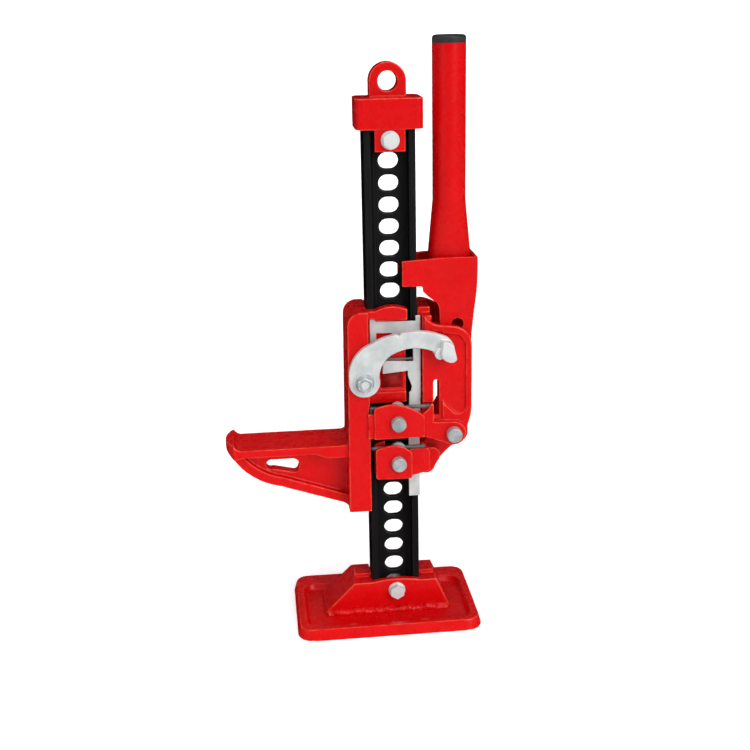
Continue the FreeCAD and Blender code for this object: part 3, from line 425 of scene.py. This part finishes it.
def make_floor():
    """Pale sweep that runs level under the jack and curves up far behind it."""
    profile = [(-FLOOR_HALF_WIDTH, 0.0), (SWEEP_START, 0.0)]
    for number in range(1, SWEEP_STEPS + 1):
        angle = math.radians(90.0 * number / SWEEP_STEPS)
        along = SWEEP_START + SWEEP_RADIUS * math.sin(angle)
        profile.append((along, SWEEP_RADIUS * (1 - math.cos(angle))))
    profile.append((SWEEP_START + SWEEP_RADIUS, SWEEP_TOP))
    mesh = bpy.data.meshes.new("floor")
    points = [(side, y, z) for y, z in profile for side in (-FLOOR_HALF_WIDTH, FLOOR_HALF_WIDTH)]
    faces = [(2 * n, 2 * n + 1, 2 * n + 3, 2 * n + 2) for n in range(len(profile) - 1)]
    mesh.from_pydata(points, [], faces)
    mesh.shade_smooth()
    floor = bpy.data.objects.new("floor", mesh)
    bpy.context.scene.collection.objects.link(floor)
    glow = {"Emission_Color": FLOOR, "Emission_Strength": FLOOR_GLOW}
    material, tree, shader, place = principled("floor_paper", Roughness=0.9, Specular_IOR_Level=0.1, **glow)
    cloud = noise(tree, place, FLOOR_CLOUDS)
    tree.links.new(mixed(tree, cloud, FLOOR, FLOOR_CLOUD), shader.inputs["Base Color"])
    mesh.materials.append(material)
    floor.visible_glossy = False


# ---- pieces added to the frame ----
def add_piece(name, mesh, body, slot, materials):
    """A new piece that rides on one body and takes a slot's finish."""
    mesh.shade_smooth()
    piece = bpy.data.objects.new(name, mesh)
    bpy.context.scene.collection.objects.link(piece)
    mesh.materials.append(materials[slot])
    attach(piece, body)


def swept(name, places, around):
    """Closed tube: places are (centre, first axis, second axis) rings, each axis carrying its own radius."""
    points = []
    faces = []
    for centre, first, second in places:
        for number in range(around):
            angle = math.tau * number / around
            points.append(centre + math.cos(angle) * first + math.sin(angle) * second)
    for ring in range(len(places) - 1):
        for number in range(around):
            here = ring * around + number
            following = ring * around + (number + 1) % around
            faces.append((here, here + around, following + around, following))
    faces.append(tuple(range(around)))
    last = (len(places) - 1) * around
    faces.append(tuple(reversed(range(last, last + around))))
    mesh = bpy.data.meshes.new(name)
    mesh.from_pydata(points, [], faces)
    return mesh


def weld_bead(name, start, end, radius):
    """Uneven weld bead from start to end, with the ripples of its pool."""
    along = end - start
    steps = max(BEAD_RIPPLE, int(along.length / BEAD_STEP))
    side = along.normalized().cross(Vector((0, 0, 1)))
    luck = random.Random(name)
    drift = [luck.uniform(-1, 1) for _ in range(steps // BEAD_WANDER + 3)]
    places = []
    for number in range(steps + 1):
        share = number / steps
        slow = number / BEAD_WANDER
        low = int(slow)
        wander = drift[low] + (drift[low + 1] - drift[low]) * (slow - low)
        ripple = abs(math.sin(number * math.tau / BEAD_RIPPLE))
        taper = min(1.0, BEAD_TAPER * share + BEAD_END, BEAD_TAPER * (1 - share) + BEAD_END)
        size = radius * taper * (BEAD_MEAN + BEAD_RIPPLE_SIZE * ripple + BEAD_DRIFT * wander)
        centre = start + along * share + Vector((0, 0, BEAD_RISE * radius * wander))
        places.append((centre, side * size, Vector((0, 0, size))))
    return swept(name, places, BEAD_SIDES)


def thread(name, centre, radius, length, pitch):
    """Rolled thread along Y: a thin ridge that winds round the bolt from centre towards +Y."""
    turns = length / pitch
    steps = int(turns * THREAD_STEPS)
    ridge = THREAD_RIDGE * pitch
    places = []
    for number in range(steps + 1):
        angle = math.tau * turns * number / steps
        outward = Vector((math.cos(angle), 0, math.sin(angle)))
        middle = centre + outward * radius + Vector((0, length * number / steps, 0))
        places.append((middle, outward * ridge, Vector((0, ridge, 0))))
    return swept(name, places, THREAD_SIDES)


def turned(name, centre, profile):
    """Solid turned about a line along Y; profile is (distance before centre, radius), front to back."""
    places = []
    for ahead, radius in profile:
        middle = centre - Vector((0, ahead, 0))
        places.append((middle, Vector((0, 0, radius)), Vector((radius, 0, 0))))
    return swept(name, places, HEAD_SIDES)


def spatter(name, low, high, count):
    """Small beads of spatter scattered over a level area between two corners."""
    luck = random.Random(name)
    made = bmesh.new()
    for _ in range(count):
        place = Vector((luck.uniform(low.x, high.x), luck.uniform(low.y, high.y), low.z))
        size = luck.uniform(*SPATTER_SIZE) * MM
        flat = Matrix.Diagonal((size, size, SPATTER_FLATNESS * size, 1))
        shape = Matrix.Translation(place) @ flat
        bmesh.ops.create_icosphere(made, subdivisions=2, radius=1.0, matrix=shape)
    mesh = bpy.data.meshes.new(name)
    made.to_mesh(mesh)
    made.free()
    return mesh


def add_welds(materials):
    """Beads round the foot of the saddle, where it meets the base plate, under an even coat of enamel."""
    even = {"red_enamel": materials["red_enamel_tube"]}
    low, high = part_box("base_saddle")
    floor_z = BASE_FLOOR_Z + WELD_LIFT
    x0, x1 = low[0] + WELD_INSET_X, high[0] - WELD_INSET_X
    y0, y1 = low[1] + WELD_INSET_Y, high[1] - WELD_INSET_Y
    front_left = Vector((x0, y0, floor_z))
    front_right = Vector((x1, y0, floor_z))
    rear_left = Vector((x0, y1, floor_z))
    rear_right = Vector((x1, y1, floor_z))
    runs = {
        "weld_front": (front_left, front_right),
        "weld_rear": (rear_right, rear_left),
        "weld_left": (rear_left, front_left),
        "weld_right": (front_right, rear_right),
    }
    for name, (start, end) in runs.items():
        bead = weld_bead(name, start, end, WELD_RADII[name] * MM)
        add_piece(name, bead, "rack_and_base", "red_enamel", even)
    near = Vector((x0, y0 - SPATTER_NEAR, BASE_FLOOR_Z))
    far = Vector((x1, y0 - SPATTER_FAR, BASE_FLOOR_Z))
    beads = spatter("weld_spatter", near, far, SPATTER_COUNT)
    add_piece("weld_spatter", beads, "rack_and_base", "red_enamel", even)


def add_threads(materials):
    """Threads on the free ends of the two bolts through the rack."""
    for bolt, nut in (("base_bolt", "base_nut"), ("clevis_bolt", "clevis_nut")):
        bolt_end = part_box(bolt)[1][1]
        nut_low, nut_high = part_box(nut)
        middle = (nut_low[2] + nut_high[2]) / 2
        start = Vector((0, nut_high[1] + THREAD_START, middle))
        length = bolt_end - nut_high[1] - THREAD_END
        mesh = thread(bolt + "_thread", start, M8_RADIUS, length, M8_PITCH)
        add_piece(bolt + "_thread", mesh, "rack_and_base", "zinc_plate", materials)


def add_latch_head(materials):
    """Round flanged head with a shallow dished face over the latch bolt, drawn from its axis to its seat."""
    bolt_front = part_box("latch_bolt")[0][1]
    low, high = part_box("latch_washer")
    seat = Vector(((low[0] + high[0]) / 2, low[1], (low[2] + high[2]) / 2))
    tall = (low[1] - bolt_front) + HEAD_CROWN
    dish = tall - HEAD_DISH
    axis = 0.1 * MM
    face = [(dish, axis), (dish, 3.4 * MM), (tall, 4.4 * MM)]
    shoulder = [(tall - 0.1 * MM, 5.6 * MM), (tall - 1.2 * MM, 6.9 * MM), (2.4 * MM, 7.6 * MM)]
    flange = [(1.5 * MM, 7.8 * MM), (1.3 * MM, 8.8 * MM), (0.4 * MM, 9.2 * MM), (0.0, 9.1 * MM)]
    profile = face + shoulder + flange + [(0.0, axis)]
    mesh = turned("latch_bolt_head", seat, profile)
    add_piece("latch_bolt_head", mesh, "large_runner_unit", "steel_pin", materials)


def pocket_shade_material():
    """Painted shade: a dull dark red that stands in for the shadow in the pocket, cloudy at the size of the
    pocket.
    """
    material, tree, shader, place = principled("painted_pocket_shade", Specular_IOR_Level=0.2)
    cloud = spread(tree, noise(tree, place, SHADE_SHEET_CLOUDS, 4.0), *CLOUD_RANGE)
    tree.links.new(mixed(tree, cloud, POCKET_SHADE, POCKET_SHADE_PALER), shader.inputs["Base Color"])
    tree.links.new(spread(tree, cloud, 0.0, 1.0, *SHADE_SHEET_ROUGHNESS), shader.inputs["Roughness"])
    tree.links.new(bump(tree, noise(tree, place, SHADE_SHEET_GRAIN, 2.0), SHADE_SHEET_DEPTH), shader.inputs["Normal"])
    return material


def add_pocket_painted_shade():
    """Thin dark sheet of painted shade in the back of the pocket behind the latch."""
    x0, x1 = POCKET_X
    z0, z1 = POCKET_Z
    middle = Vector(((x0 + x1) / 2, POCKET_BACK_Y, (z0 + z1) / 2))
    skin = bmesh.new()
    size = Matrix.Diagonal((x1 - x0, SHADE_SHEET_THICKNESS, z1 - z0, 1))
    bmesh.ops.create_cube(skin, size=1.0, matrix=Matrix.Translation(middle) @ size)
    bmesh.ops.bevel(skin, geom=skin.edges[:], offset=SHADE_SHEET_EDGE, segments=2, affect="EDGES")
    mesh = bpy.data.meshes.new("pocket_painted_shade")
    skin.to_mesh(mesh)
    skin.free()
    add_piece("pocket_painted_shade", mesh, "large_runner_unit", "red_enamel", {"red_enamel": pocket_shade_material()})


def make_backdrop():
    """White wall all round the floor that only the camera sees, so it neither lights nor shades the jack."""
    points = []
    for number in range(WALL_SIDES):
        angle = math.tau * number / WALL_SIDES
        x, y = WALL_RADIUS * math.cos(angle), WALL_RADIUS * math.sin(angle)
        points += [(x, y, 0.0), (x, y, WALL_TOP)]
    faces = []
    for number in range(WALL_SIDES):
        here = 2 * number
        following = 2 * ((number + 1) % WALL_SIDES)
        faces.append((here, following, following + 1, here + 1))
    mesh = bpy.data.meshes.new("backdrop")
    mesh.from_pydata(points, [], faces)
    wall = bpy.data.objects.new("backdrop", mesh)
    bpy.context.scene.collection.objects.link(wall)
    material, tree, shader, place = principled(
        "backdrop_paper", Roughness=1.0, Specular_IOR_Level=0.0, Emission_Strength=1.0
    )
    cloud = mixed(tree, noise(tree, place, WALL_CLOUDS), WALL, WALL_CLOUD)
    tree.links.new(cloud, shader.inputs["Emission Color"])
    mesh.materials.append(material)
    wall.visible_diffuse = False
    wall.visible_glossy = False
    wall.visible_shadow = False


MATERIALS = make_materials()
make_camera()
make_lights()
make_floor()
make_backdrop()
dress_nodes(MATERIALS)
soften_castings()
add_welds(MATERIALS)
add_threads(MATERIALS)
add_latch_head(MATERIALS)
add_pocket_painted_shade()
